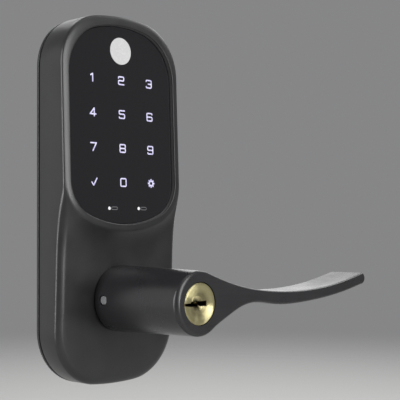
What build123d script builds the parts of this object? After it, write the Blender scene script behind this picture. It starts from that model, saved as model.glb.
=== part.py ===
from build123d import *
from math import asin, atan2, cos, degrees, radians, sin, sqrt
import os

# Keypad smart lock: the outside half of an electronic lever lock with a touch keypad.
# Millimetres. X runs along the lever towards its tip, Y runs into the door, Z is up.
# The origin is on the lever's axis, on the door's face. Depths are distances out from the door.

os.makedirs("parts", exist_ok=True)

# Escutcheon, seen from the front
body_half_width = 35.0
body_top = 130.0
body_bottom = -39.4
body_top_radii = (24.5, 92.0)  # corner, arch
body_bottom_radii = (25.5, 140.0)
side_wall = 2.5
front_wall = 2.5
rim_width = 4.0  # raised rim round the glass
rim_top_width = 4.7
glass_bottom = 34.0
glass_top_radii = (22.5, 55.0)
glass_bottom_radii = (17.0, 55.0)

# Escutcheon, seen from the side: both front faces lean out towards the keypad's lower edge
keypad_tilt = 1.9
lower_tilt = 2.0
tilt_height = 60.0
glass_depth = 19.0  # at the tilt height
rim_rise = 1.4
lower_depth = 16.2  # at the lever's axis
lower_join_height = 75.0
cavity_join_height = 57.0
rim_edge_r = 1.2
rim_inner_r = 0.7
lower_edge_r = 3.2

# Plates against the door
gasket_thickness = 0.5
gasket_inset = 0.7
plate_thickness = 1.2
shadow_gap = 0.7
shadow_inset = 0.9
plate_edge_r = 0.4

# Keypad stack, counted inwards from the glass's front
glass_thickness = 2.0
glass_gap = 0.15
glass_chamfer = 0.3
adhesive_thickness = 0.5
ledge_thickness = 1.5
window_inset = 4.0
board_thickness = 1.6
touch_board_thickness = 1.4
stack_gap = 0.1
diffuser_gap = 0.4
touch_board_overlap = 1.8
light_well_r = 2.9
led_size = 1.6
led_height = 0.8

# Legends
key_pitch_x = 17.16
key_pitch_z = 15.7
top_row_height = 100.2
legend_half_width = 1.6
legend_half_height = 1.76
legend_stroke = 0.62
legend_bend_r = 0.5
legend_depth = 0.4
gear_r = 2.05
gear_root_r = 1.5
gear_hub_r = 0.75
gear_teeth = 8
gear_tooth_width = 0.75
indicator_height = 41.2
indicator_offsets = (-8.7, 9.0)
indicator_dot_r = 0.75
indicator_bar = (3.8, 1.5)
indicator_line = 0.3
indicator_gap = 3.0
badge_height = 113.9
badge_r = 6.25
badge_thickness = 0.5
badge_recess = 0.4
badge_gap = 0.05

# Lever
lever_depth = 69.0
blade_width = 20.6
hub_face_r = 14.0
hub_base_r = 15.2
hub_edge_r = 2.4  # on the side away from the blade
hub_edge_shift = 1.2  # towards the blade, so that the rounding dies out there
hub_edge_end = 3.0
front_edge_r = 0.9
blade_edge_r = 0.7
hub_gap = 0.75
face_web = 2.7
blade_top_angle = radians(68.5)  # where the blade's edges leave the hub's circle
blade_bottom_angle = radians(-56.0)
blade_top_points = ((18.6, 8.4), (31.5, 5.3), (45.0, 3.5), (66.0, 2.45), (90.0, 4.0), (116.4, 9.05))
blade_bottom_points = ((17.6, -6.5), (26.0, -2.9), (35.0, -1.35), (48.0, -2.8), (66.0, -3.2),
                       (92.0, -0.9), (115.0, 3.45))
blade_tip = (118.0, 6.8)
blade_tip_slope = (1.0, 0.23)
lever_swing = 45.0

# Shaft of the lever
sleeve_outer_r = 11.6
sleeve_wall = 2.1
sleeve_fit = 0.1
sleeve_back = 2.2
bushing_wall = 1.85
bushing_flange = 2.0
bushing_flange_thickness = 1.0
running_fit = 0.05
seat_gap = 0.1
seat_boss_rim = 1.5
boss_depth = 12.9
washer_thickness = 0.6
lock_ring_r = 15.5
lock_ring_thickness = 3.0
lock_ring_gap = 0.15
notch_width = 2.8
notch_depth = 2.4
notch_step = 22.5
stop_lug_r = 18.0
stop_lug_half_angle = 8.0
stop_post_r = 1.8
stop_slack = 1.5
snap_ring_thickness = 0.9
snap_ring_r = 13.2
snap_groove_depth = 0.6
snap_opening = 60.0

# Return spring and its cage
cage_outer_r = 17.5
cage_wall = 0.8
cage_hole_gap = 0.8
cage_front = 7.0
spring_wire_r = 0.6
spring_mean_r = 14.2
spring_pitch = 1.4
spring_turns = 2.5
spring_leg = 2.6

# Spindle
spindle_across = 7.9
spindle_reach = 42.0
spindle_bore_r = 2.9
spindle_disc_front = 9.0
spindle_disc_back = 4.5

# Lever catch
catch_depth = 22.6
catch_r = 2.1
catch_head_r = 2.7
catch_head_height = 0.7
catch_travel = 1.8
catch_sink = 0.25
catch_hole_gap = 0.3
catch_block_length = 7.0
catch_block_inner_r = 4.6
catch_spring_wire_r = 0.15
catch_spring_turns = 2.5
catch_spring_room = 0.7  # left for the spring when the catch is pressed

# Key cylinder
plug_face_r = 9.12
plug_recess = 0.2  # behind the lever's face
plug_head_gap = 0.2
face_hole_gap = 0.23
plug_r = 6.3
shell_back_gap = 0.4
tailpiece_grip = 2.0
shell_r = 11.55
shell_length = 27.8
keyway_tip = 4.5
keyway_slot = 1.1  # half height
keyway_slit = 0.45
keyway_slit_inner = 5.0
keyway_rib = 0.7
dish_depth = 0.55
dish_r = 8.0
dish_floor_r = 4.6
entry_r = 3.3
entry_depth = 1.0
entry_offset = -1.0
pin_count = 5
pin_r = 1.25
pin_fit = 0.05
pin_pitch = 3.9
first_pin_back = 4.6  # behind the shell's front
key_pin_lengths = (3.4, 2.6, 3.8, 2.9, 3.2)
shear_gap = 0.12
driver_length = 2.6
pin_wire_r = 0.14
pin_spring_turns = 4.0
pin_cover_thickness = 0.5
tailpiece_width = 4.4
tailpiece_thickness = 1.6
tailpiece_reach = 44.0
plug_cap_r = 7.6
plug_cap_thickness = 1.4

# Locking motor and dog
motor_r = 3.8
motor_bottom = 32.0
motor_length = 12.0
screw_r = 1.2
screw_bottom = 20.0
dog_travel = 2.5
dog_half_width = 3.0
dog_half_depth = 2.3
dog_top = 26.0
tooth_width = 2.0
tooth_gap = 0.5
guide_gap = 0.3
carrier_half_width = 5.6
carrier_foot_half_width = 10.0
carrier_foot_thickness = 1.5
carrier_wall = 1.2
carrier_lower = 18.0
carrier_grip = 0.6
carrier_screw_shift = 0.1
dog_clear = 0.9

# Boards and covers
main_board_depth = 5.0
main_board_side_gap = 4.5  # from the body's side
main_board_bottom = 48.0
main_board_top = 116.0
board_corner_r = 4.0
cover_thickness = 1.2
cover_bottom = 46.5
chip_places = ((-10.0, 62.0, 10.0, 10.0), (11.0, 60.0, 6.0, 8.0), (-13.0, 84.0, 5.0, 6.0),
               (12.0, 80.0, 8.0, 5.0), (-4.0, 104.0, 7.0, 7.0))  # x, z, width, height
chip_height = 1.1
buzzer_place = (14.0, 98.0)
buzzer_r = 5.0
buzzer_height = 2.2
header_place = (-16.0, 56.0)
header_size = (10.0, 5.0)
header_height = 2.4
header_wall = 0.6

# Screws, bosses and posts
boss_r = 2.4
boss_gap = 0.4
board_boss_inset = 6.0  # from the body's side
board_boss_heights = (94.0, 58.0)
top_boss_inset = 5.4
plate_boss_insets = (6.4, 9.5)
plate_boss_heights = (40.0, -20.0)
screw_shank_r = 1.0
screw_head_r = 2.0
screw_head_height = 1.1
screw_length = 6.0
screw_hole_gap = 0.2
screw_slot = 0.5
screw_cross = 2.8
post_spacing = 45.0
post_r = 3.5
post_head_r = 4.4
post_head_height = 2.4
post_reach = 12.0
post_thread_r = 2.1
post_thread_length = 14.0
grommet_place = (-15.6, 18.9)
grommet_r = 4.2
grommet_bore_r = 3.3
grommet_lip = 0.7
gasket_opening_r = 29.5
cut_margin = 1.0  # how far a cut runs past the surface it opens

# Worked out from the sizes above
plate_front = gasket_thickness + plate_thickness
housing_back = plate_front
body_shape = dict(half=body_half_width, top=body_top, bottom=body_bottom,
                  top_radii=body_top_radii, bottom_radii=body_bottom_radii)
pad_shape = dict(half=body_half_width, top=body_top, bottom=glass_bottom - rim_width,
                 top_radii=body_top_radii,
                 bottom_radii=tuple(r + rim_width for r in glass_bottom_radii))
glass_shape = dict(half=body_half_width - rim_width, top=body_top - rim_top_width,
                   bottom=glass_bottom, top_radii=glass_top_radii,
                   bottom_radii=glass_bottom_radii)
sleeve_inner_r = sleeve_outer_r - sleeve_wall
hub_bore_r = sleeve_outer_r + sleeve_fit
bushing_bore_r = sleeve_outer_r + running_fit
bushing_outer_r = bushing_bore_r + bushing_wall
washer_front = boss_depth - bushing_flange_thickness - seat_gap
lock_ring_front = washer_front - washer_thickness - seat_gap
lock_ring_back = lock_ring_front - lock_ring_thickness
snap_front = lock_ring_back - seat_gap
shell_front = lever_depth - face_web - seat_gap
plug_face_depth = lever_depth - plug_recess
plug_head_length = plug_face_depth - shell_front - plug_head_gap
plug_back = shell_front - shell_length - shell_back_gap
main_board_half_width = body_half_width - main_board_side_gap
board_boss_places = [(side * (body_half_width - board_boss_inset), z)
                     for z in board_boss_heights for side in (-1, 1)]
plate_boss_places = [(0, body_top - top_boss_inset)] + [
    (side * (body_half_width - inset), z)
    for inset, z in zip(plate_boss_insets, plate_boss_heights) for side in (-1, 1)]
hub_taper = (hub_base_r - hub_face_r) / (lever_depth - lower_depth)
hub_widest_r = hub_face_r + hub_taper * hub_edge_r  # where the front edge's rounding starts
catch_reach = hub_base_r - hub_taper * (catch_depth - lower_depth)
catch_head_x = guide_gap - sqrt((sleeve_inner_r - guide_gap) ** 2 - catch_head_r ** 2)
catch_floor_x = catch_head_x + catch_head_height + catch_travel + catch_spring_room
ledge_back = glass_thickness + adhesive_thickness + ledge_thickness
touch_board_front = ledge_back + stack_gap
dog_depth = lock_ring_back + lock_ring_thickness / 2
dog_bottom = lock_ring_r + dog_travel + guide_gap


def front(depth):
    """A plane facing the user, this far out from the door, with world X and Z as its axes."""
    return Plane.XZ.offset(depth)


def keypad_plane(rise=0.0):
    """The glass's front plane, moved out by rise, with its origin level with the lever's axis."""
    lean = radians(keypad_tilt)
    facing = Vector(0, -cos(lean), sin(lean))
    up = Vector(0, sin(lean), cos(lean))
    middle = Vector(0, -glass_depth, tilt_height)
    return Plane(origin=middle - up * tilt_height + facing * rise, x_dir=(1, 0, 0), z_dir=facing)


def lower_plane(rise=0.0):
    """The plane of the lower front, moved out by rise."""
    lean = radians(lower_tilt)
    facing = Vector(0, -cos(lean), -sin(lean))
    return Plane(origin=Vector(0, -lower_depth, 0) + facing * rise, x_dir=(1, 0, 0), z_dir=facing)


def arched_end(half, radii):
    """How far the corner's centre lies below the apex, then points on the corner and at its end."""
    corner_r, arch_r = radii
    across = half - corner_r
    rise = sqrt((arch_r - corner_r) ** 2 - across ** 2)
    angle = atan2(rise, across)
    drop = arch_r - rise
    middle = (across + corner_r * cos(angle / 2), corner_r * sin(angle / 2) - drop)
    meeting = (arch_r * cos(angle), arch_r * (sin(angle) - 1))
    return drop, middle, meeting


def outline(shape, inset=0.0):
    """A face with straight sides and arched, round-cornered ends, moved in by inset."""
    half = shape["half"] - inset
    ends = []
    for name, way in (("top", 1), ("bottom", -1)):
        radii = [r - inset for r in shape[name + "_radii"]]
        drop, middle, meeting = arched_end(half, radii)
        apex = shape[name] - way * inset
        points = ((half, -drop), middle, meeting, (0, 0))
        ends.append([(x, apex + way * z) for x, z in points])
    top, bottom = ends
    top_left, bottom_left = [[(-x, z) for x, z in end] for end in ends]
    edges = [
        Line(bottom[0], top[0]),
        ThreePointArc(top[0], top[1], top[2]),
        ThreePointArc(top[2], top[3], top_left[2]),
        ThreePointArc(top_left[2], top_left[1], top_left[0]),
        Line(top_left[0], bottom_left[0]),
        ThreePointArc(bottom_left[0], bottom_left[1], bottom_left[2]),
        ThreePointArc(bottom_left[2], bottom[3], bottom[2]),
        ThreePointArc(bottom[2], bottom[1], bottom[0]),
    ]
    return make_face(Wire(edges))


def slab(face, back, depth):
    """A front-view face as a solid between two depths."""
    return extrude(front(back) * face, depth - back)


def keypad_slab(face, inner, outer):
    """A keypad face as a solid between two distances counted inwards from the glass's front."""
    return extrude(keypad_plane(-inner) * face, inner - outer)


def disc(radius, back, depth, x=0.0, z=0.0):
    return slab(Pos(x, z) * Circle(radius), back, depth)


def ring(outer_r, inner_r, back, depth, x=0.0, z=0.0):
    return slab(Pos(x, z) * (Circle(outer_r) - Circle(inner_r)), back, depth)


def block(x_low, x_high, back, depth, z_low, z_high):
    middle = Pos((x_low + x_high) / 2, (z_low + z_high) / 2)
    return slab(middle * Rectangle(x_high - x_low, z_high - z_low), back, depth)


def rod(radius, x_start, x_end, depth, z=0.0):
    """A cylinder along X at this depth."""
    return extrude(Plane.YZ.offset(x_start) * Pos(-depth, z) * Circle(radius), x_end - x_start)


def turned(points, x=0.0, z=0.0):
    """A solid turned about a line along Y through x, z. Points are radius and depth."""
    profile = make_face(Polyline([(r, -depth) for r, depth in points], close=True))
    return Pos(x, 0, z) * revolve(profile, Axis.Y)


def pan_screw(x, z, head_face, way, length):
    """A cross-slotted screw along Y whose head face is at head_face, driven towards way."""
    under = head_face + way * screw_head_height
    tip = head_face + way * length
    points = ((0, head_face), (screw_head_r, head_face), (screw_head_r, under),
              (screw_shank_r, under), (screw_shank_r, tip), (0, tip))
    return turned(points, x, z) - driver_slots(x, z, head_face, way)


def flat_screw(x, z, head_face, way, length, gap=0.0):
    """A countersunk screw, or the room it needs when gap is given."""
    under = head_face + way * (screw_head_r - screw_shank_r)
    tip = head_face + way * length
    points = ((0, head_face), (screw_head_r + gap, head_face), (screw_shank_r + gap, under),
              (screw_shank_r + gap, tip), (0, tip))
    solid = turned(points, x, z)
    if gap:
        return solid
    return solid - driver_slots(x, z, head_face, way)


def driver_slots(x, z, head_face, way):
    """The cross that a screwdriver fits."""
    cross = Rectangle(screw_cross, screw_slot) + Rectangle(screw_slot, screw_cross)
    floor = head_face + way * screw_slot
    return slab(Pos(x, z) * cross, min(head_face, floor), max(head_face, floor))


def coil(wire_r, mean_r, pitch, turns):
    """A spring along local Z, from the origin up."""
    path = Helix(pitch=pitch, height=pitch * turns, radius=mean_r)
    start = Plane(origin=path @ 0, z_dir=path % 0)
    return sweep(start * Circle(wire_r), path=path, is_frenet=True)


# Escutcheon

def escutcheon_form():
    """The outer form: a raised keypad pad that flows into a thinner lower body."""
    reach = glass_depth + tilt_height
    pad = slab(outline(pad_shape), housing_back + shadow_gap, reach)
    pad = split(pad, bisect_by=keypad_plane(rim_rise), keep=Keep.BOTTOM)
    pad = fillet(pad.faces().sort_by(Axis.Y)[0].edges(), rim_edge_r)
    height = lower_join_height - body_bottom
    below = Pos(0, lower_join_height - height / 2) * Rectangle(2 * body_half_width, height)
    lower = slab(outline(body_shape) & below, housing_back + shadow_gap, reach)
    lower = split(lower, bisect_by=lower_plane(), keep=Keep.BOTTOM)
    rounded = [e for e in lower.faces().sort_by(Axis.Y)[0].edges()
               if e.center().Z < lower_join_height - lower_edge_r]
    return pad + fillet(rounded, lower_edge_r)


def boss(x, z, back, radius):
    """A post from the inside of the front wall back to a depth."""
    over_keypad = z > main_board_bottom
    wall = keypad_plane(ledge_thickness / 2 - ledge_back) if over_keypad else lower_plane(-front_wall / 2)
    return split(disc(radius, back, glass_depth + rim_width, x, z), bisect_by=wall, keep=Keep.BOTTOM)


def housing():
    shell = escutcheon_form()
    shell += slab(outline(body_shape, shadow_inset), housing_back, housing_back + shadow_gap)
    reach = glass_depth + tilt_height
    upper = slab(outline(pad_shape, side_wall), 0, reach)
    shell -= split(upper, bisect_by=keypad_plane(-ledge_back), keep=Keep.BOTTOM)
    below = Pos(0, cavity_join_height - reach) * Rectangle(2 * body_half_width, 2 * reach)
    lower = slab(outline(body_shape, side_wall) & below, 0, reach)
    shell -= split(lower, bisect_by=lower_plane(-front_wall), keep=Keep.BOTTOM)
    shell -= keypad_slab(outline(glass_shape, -glass_gap), ledge_back - ledge_thickness, -reach)
    rim = [f for f in shell.faces().filter_by(GeomType.PLANE).sort_by(Axis.Y)[:2] if f.inner_wires()]
    shell = fillet(rim[0].inner_wires()[0].edges(), rim_inner_r)
    shell -= keypad_slab(outline(glass_shape, window_inset), ledge_back + cut_margin, 0)
    shell += boss(0, 0, boss_depth, bushing_outer_r + bushing_flange + seat_boss_rim)
    for x, z in board_boss_places:
        shell += boss(x, z, main_board_depth + board_thickness, boss_r)
    for x, z in plate_boss_places:
        shell += boss(x, z, plate_front, boss_r)
    for side in (-1, 1):
        shell += boss(*stop_post_place(side), lock_ring_back, stop_post_r)
    for x, z in board_boss_places:
        back = main_board_depth + board_thickness
        shell -= disc(screw_shank_r, back, main_board_depth + screw_length, x, z)
    for x, z in plate_boss_places:
        shell -= disc(screw_shank_r, plate_front, gasket_thickness + screw_length, x, z)
    shell -= disc(bushing_outer_r + seat_gap, 0, reach)
    return shell


def stop_post_place(side):
    """Where the lock ring's lug meets a post at the end of the lever's swing."""
    post_circle_r = lock_ring_r + guide_gap + stop_post_r
    post_half_angle = degrees(asin(stop_post_r / post_circle_r))
    angle = -90 + side * (lever_swing + stop_lug_half_angle + post_half_angle + stop_slack)
    return post_circle_r * cos(radians(angle)), post_circle_r * sin(radians(angle))


def back_plate():
    plate = slab(outline(body_shape), gasket_thickness, plate_front)
    plate = fillet(plate.edges().filter_by(lambda e: abs(e.center().Y + plate_front) < plate_edge_r / 2),
                   plate_edge_r)
    plate -= disc(bushing_bore_r + cage_hole_gap, 0, plate_front)
    plate -= disc(grommet_r, 0, plate_front, *grommet_place)
    for side in (-1, 1):
        plate -= disc(post_r, 0, plate_front, side * post_spacing / 2)
    for x, z in plate_boss_places:
        plate -= flat_screw(x, z, gasket_thickness, 1, screw_length, screw_hole_gap)
    for x, z in carrier_screw_places():
        plate -= disc(screw_shank_r, 0, plate_front, x, z)
    return plate


def rear_gasket():
    gasket = slab(outline(body_shape, gasket_inset) - Circle(gasket_opening_r), 0, gasket_thickness)
    for x, z in plate_boss_places:
        gasket -= disc(screw_head_r + screw_hole_gap, 0, gasket_thickness, x, z)
    for x, z in carrier_screw_places():
        gasket -= disc(screw_shank_r + screw_hole_gap, 0, gasket_thickness, x, z)
    return gasket


def plate_screws():
    return [flat_screw(x, z, gasket_thickness, 1, screw_length) for x, z in plate_boss_places]


def through_posts():
    """Flanged posts staked in the back plate, threaded for the bolts from the door's inside."""
    posts = []
    for side in (-1, 1):
        x = side * post_spacing / 2
        post = disc(post_r, -post_reach, plate_front, x)
        post += disc(post_head_r, plate_front, plate_front + post_head_height, x)
        posts.append(post - disc(post_thread_r, -post_reach, post_thread_length - post_reach, x))
    return posts


def cable_grommet():
    x, z = grommet_place
    lip_r = grommet_r + grommet_lip
    grommet = disc(grommet_r, gasket_thickness, plate_front, x, z)
    grommet += disc(lip_r, plate_front, plate_front + grommet_lip, x, z)
    return grommet - disc(grommet_bore_r, 0, plate_front + grommet_lip, x, z)


# Keypad

def badge_place():
    return Pos(0, tilted(badge_height))


def tilted(height):
    """A height above the lever's axis, measured along the leaning glass."""
    return tilt_height + (height - tilt_height) / cos(radians(keypad_tilt))


def key_places():
    """Three columns and four rows, read from the top left."""
    return [((column - 1) * key_pitch_x, tilted(top_row_height - row * key_pitch_z))
            for row in range(4) for column in range(3)]


def stroke(points):
    """A pen line of one width with sharp bends."""
    placed = [(x * legend_half_width, y * legend_half_height) for x, y in points]
    drawn = Sketch()
    for (x1, y1), (x2, y2) in zip(placed, placed[1:]):
        length = sqrt((x2 - x1) ** 2 + (y2 - y1) ** 2)
        angle = degrees(atan2(y2 - y1, x2 - x1))
        piece = SlotCenterToCenter(length, legend_stroke, rotation=angle)
        drawn += Pos((x1 + x2) / 2, (y1 + y2) / 2) * piece
    return drawn


def rounded_stroke(points):
    """A pen line with rounded bends, open, or closed where it ends at its start."""
    placed = [(x * legend_half_width, y * legend_half_height) for x, y in points]
    half = legend_stroke / 2
    if points[0] == points[-1]:
        loop = make_face(FilletPolyline(*placed[:-1], radius=legend_bend_r, close=True))
        return offset(loop, half) - offset(loop, -half)
    path = FilletPolyline(*placed, radius=legend_bend_r)
    return make_face(offset(path, half, side=Side.BOTH))


# Points in half widths and half heights: sharp lines, then rounded ones
upper_loop = [(-1, 1), (1, 1), (1, 0), (-1, 0), (-1, 1)]
lower_loop = [(-1, 0), (1, 0), (1, -1), (-1, -1), (-1, 0)]
digit_strokes = {
    "1": ([[(-0.5, 0.6), (0.2, 1), (0.2, -1)]], []),
    "2": ([], [[(-1, 0.62), (-1, 1), (1, 1), (1, 0), (-1, 0), (-1, -1), (1, -1)]]),
    "3": ([[(-0.2, 0), (0.9, 0)]], [[(-1, 0.7), (-1, 1), (1, 1), (1, -1), (-1, -1), (-1, -0.7)]]),
    "4": ([[(0.5, -1), (0.5, 1), (-1, -0.5), (1.1, -0.5)]], []),
    "5": ([], [[(1, 1), (-1, 1), (-1, 0.1), (1, 0.1), (1, -1), (-1, -1), (-1, -0.7)]]),
    "6": ([], [[(1, 0.7), (1, 1), (-1, 1), (-1, -0.5)], lower_loop]),
    "7": ([[(-1, 1), (1, 1), (-0.25, -1)]], []),
    "8": ([], [upper_loop, lower_loop]),
    "9": ([], [[(-1, -0.7), (-1, -1), (1, -1), (1, 0.5)], upper_loop]),
    "tick": ([[(-0.9, -0.15), (-0.25, -0.9), (0.95, 0.85)]], []),
    "0": ([], [[(-1, 1), (1, 1), (1, -1), (-1, -1), (-1, 1)]]),
}


def gear_face():
    gear = Circle(gear_root_r)
    tooth = Pos((gear_hub_r + gear_r) / 2, 0) * Rectangle(gear_r - gear_hub_r, gear_tooth_width)
    for turn in range(gear_teeth):
        gear += Rot(0, 0, turn * 360 / gear_teeth) * tooth
    return gear - Circle(gear_hub_r)


def legend_faces():
    names = ("1", "2", "3", "4", "5", "6", "7", "8", "9", "tick", "0", "gear")
    faces = []
    for name, (x, v) in zip(names, key_places()):
        if name == "gear":
            face = gear_face()
        else:
            sharp, rounded = digit_strokes[name]
            face = Sketch()
            for piece in [stroke(p) for p in sharp] + [rounded_stroke(p) for p in rounded]:
                face += piece
        faces.append(Pos(x, v) * face)
    return faces


def indicator_faces():
    """A lamp and a battery-like bar beside it, twice."""
    faces = []
    length, height = indicator_bar
    line = 2 * indicator_line
    bar = SlotOverall(length, height) - SlotOverall(length - line, height - line)
    for x in indicator_offsets:
        place = Pos(x, tilted(indicator_height))
        faces.append(place * Circle(indicator_dot_r))
        faces.append(place * Pos(indicator_gap, 0) * bar)
    return faces


def glass_panel():
    glass = keypad_slab(outline(glass_shape), glass_thickness, 0)
    glass = chamfer(glass.faces().sort_by(Axis.Y)[0].edges(), glass_chamfer)
    glass -= keypad_slab(badge_place() * Circle(badge_r + badge_gap), badge_recess, -cut_margin)
    for face in legend_faces() + indicator_faces():
        glass -= keypad_slab(face, legend_depth, -cut_margin)
    return glass


def badge_disc():
    return keypad_slab(badge_place() * Circle(badge_r), badge_recess, badge_recess - badge_thickness)


def legend_lights():
    return [keypad_slab(face, legend_depth, 0) for face in legend_faces()]


def indicator_lights():
    return [keypad_slab(face, legend_depth, 0) for face in indicator_faces()]


def glass_adhesive():
    frame = outline(glass_shape) - outline(glass_shape, window_inset)
    return keypad_slab(frame, glass_thickness + adhesive_thickness, glass_thickness)


def light_diffuser():
    """A milky grid that fills the window behind the glass, with a light well behind each key."""
    face = outline(glass_shape, window_inset + diffuser_gap)
    for x, v in key_places():
        face -= Pos(x, v) * Circle(light_well_r)
    return keypad_slab(face, touch_board_front, glass_thickness + stack_gap)


def touch_board():
    face = outline(glass_shape, window_inset - touch_board_overlap)
    for x, z in plate_boss_places + board_boss_places:
        face -= Pos(x, tilted(z)) * Circle(boss_r + boss_gap)
    return keypad_slab(face, touch_board_front + touch_board_thickness, touch_board_front)


def key_lamps():
    face = Rectangle(led_size, led_size)
    return [keypad_slab(Pos(x, v) * face, touch_board_front, touch_board_front - led_height)
            for x, v in key_places()]


def main_board_face():
    height = main_board_top - main_board_bottom
    face = Pos(0, main_board_bottom + height / 2) * RectangleRounded(
        2 * main_board_half_width, height, board_corner_r)
    face &= outline(body_shape, side_wall + boss_gap)
    for x, z in board_boss_places:
        face -= Pos(x, z) * Circle(screw_shank_r + screw_hole_gap)
    return face


def main_board():
    return slab(main_board_face(), main_board_depth, main_board_depth + board_thickness)


def board_chips():
    top = main_board_depth + board_thickness
    return [block(x - width / 2, x + width / 2, top, top + chip_height, z - height / 2, z + height / 2)
            for x, z, width, height in chip_places]


def buzzer():
    top = main_board_depth + board_thickness
    x, z = buzzer_place
    can = disc(buzzer_r, top, top + buzzer_height, x, z)
    return can - disc(header_wall, top + buzzer_height / 2, top + buzzer_height, x, z)


def cable_header():
    """The socket for the cable that comes through the door."""
    x, z = header_place
    width, height = header_size
    outer = Pos(x, z) * Rectangle(width, height)
    inner = Pos(x, z) * Rectangle(width - 2 * header_wall, height - 2 * header_wall)
    back = main_board_depth - header_height
    return slab(outer, back, main_board_depth) - slab(inner, back, main_board_depth - header_wall)


def board_screws():
    head_face = main_board_depth - screw_head_height
    return [pan_screw(x, z, head_face, 1, screw_length) for x, z in board_boss_places]


def board_cover():
    """A tray over the back of the main board, open over the cable's socket."""
    inset = side_wall + boss_gap + stack_gap
    height = main_board_top - cover_bottom
    around = Pos(0, cover_bottom + height / 2) * Rectangle(2 * body_half_width, height)
    face = outline(body_shape, inset) & around
    back = plate_front + stack_gap
    cover = slab(face, back, back + cover_thickness)
    lip = face - (outline(body_shape, inset + cover_thickness) & around)
    cover += slab(lip, back, main_board_depth - stack_gap)
    for x, z in board_boss_places:
        cover -= disc(screw_head_r + screw_hole_gap, back, main_board_depth, x, z)
    x, z = header_place
    width, height = header_size
    opening = Rectangle(width + 2 * boss_gap, height + 2 * boss_gap)
    return cover - slab(Pos(x, z) * opening, back, main_board_depth)


# Lever and its shaft

def blade_face():
    """The lever seen from the front: it leaves the hub on both sides and waves out to its tip."""
    top_start = (hub_face_r * cos(blade_top_angle), hub_face_r * sin(blade_top_angle))
    bottom_start = (hub_face_r * cos(blade_bottom_angle), hub_face_r * sin(blade_bottom_angle))
    top = Spline([top_start, *blade_top_points],
                 tangents=[(sin(blade_top_angle), -cos(blade_top_angle)), blade_tip_slope])
    bottom = Spline([bottom_start, *blade_bottom_points],
                    tangents=[(-sin(blade_bottom_angle), cos(blade_bottom_angle)), blade_tip_slope])
    tip = ThreePointArc(blade_top_points[-1], blade_tip, blade_bottom_points[-1])
    return make_face(Wire([top, tip, bottom, Line(bottom_start, top_start)]))


def lever():
    back = lower_depth + hub_gap
    hub = turned(((0, back), (hub_base_r, back), (hub_face_r, lever_depth), (0, lever_depth)))
    solid = hub + slab(blade_face(), lever_depth - blade_width, lever_depth)
    solid = fillet(solid.faces().sort_by(Axis.Y)[0].edges(), front_edge_r)
    far_side = [e for e in solid.edges() if abs(e.center().Y + lever_depth - blade_width) < blade_edge_r / 2
                and e.center().X > hub_base_r]
    solid = fillet(far_side, blade_edge_r)
    solid -= disc(hub_bore_r, 0, lever_depth - face_web)
    solid -= disc(plug_face_r + face_hole_gap, 0, lever_depth)
    solid -= rod(catch_r + catch_hole_gap, -hub_base_r, 0, catch_depth)
    edge_back = lever_depth - hub_edge_r
    rounded = disc(hub_widest_r + hub_edge_shift, edge_back - hub_edge_r, lever_depth, hub_edge_shift)
    rounded = fillet(rounded.faces().sort_by(Axis.Y)[0].edges(), hub_edge_r)
    around = block(-hub_base_r, hub_edge_end, edge_back, lever_depth, -hub_base_r, hub_base_r)
    return solid - (around - rounded)


def lever_sleeve():
    """The tube that carries the lever through the housing."""
    sleeve_front = plug_back + shell_back_gap - seat_gap
    sleeve = ring(sleeve_outer_r, sleeve_inner_r, sleeve_back, sleeve_front)
    sleeve -= rod(catch_r + catch_hole_gap, -hub_base_r, 0, catch_depth)
    groove_r = sleeve_outer_r - snap_groove_depth
    return sleeve - ring(hub_base_r, groove_r, snap_front - snap_ring_thickness - running_fit,
                         snap_front + running_fit)


def rose_bushing():
    bushing = ring(bushing_outer_r, bushing_bore_r, boss_depth - bushing_flange_thickness,
                   lower_depth - hub_gap)
    return bushing + ring(bushing_outer_r + bushing_flange, bushing_bore_r,
                          boss_depth - bushing_flange_thickness, boss_depth)


def thrust_washer():
    return ring(bushing_outer_r + bushing_flange, hub_bore_r, washer_front - washer_thickness, washer_front)


def lock_ring():
    """Turns with the lever: notches for the dog at the top, a stop lug at the bottom."""
    face = Circle(lock_ring_r) - Circle(sleeve_outer_r)
    lug = Circle(stop_lug_r) - Circle(lock_ring_r - seat_gap)
    half_width = stop_lug_r * sin(radians(stop_lug_half_angle))
    face += lug & (Pos(0, -stop_lug_r) * Rectangle(2 * half_width, stop_lug_r))
    steps = int(lever_swing // notch_step)
    for step in range(-steps, steps + 1):
        notch = Pos(0, lock_ring_r) * Rectangle(notch_width, 2 * notch_depth)
        face -= Rot(0, 0, step * notch_step) * notch
    face -= Pos(-spring_mean_r, 0) * Circle(spring_wire_r + seat_gap)
    return slab(face, lock_ring_back, lock_ring_front)


def snap_ring():
    inner_r = sleeve_outer_r - snap_groove_depth
    face = Circle(snap_ring_r) - Circle(inner_r)
    half_angle = radians(snap_opening / 2)
    far = 2 * snap_ring_r
    wedge = Polyline((0, 0), (far * sin(half_angle), far * cos(half_angle)),
                     (-far * sin(half_angle), far * cos(half_angle)), close=True)
    return slab(face - make_face(wedge), snap_front - snap_ring_thickness, snap_front)


def spring_cage():
    """A cup on the back plate that holds the return spring's other leg."""
    cage = ring(cage_outer_r, bushing_bore_r + cage_hole_gap, plate_front, cage_front)
    cage -= ring(cage_outer_r - cage_wall, bushing_bore_r + cage_hole_gap, plate_front + cage_wall,
                 cage_front)
    slot = spring_wire_r + seat_gap
    return cage - block(0, 2 * cage_outer_r, plate_front + cage_wall, cage_front, -slot, slot)


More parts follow.
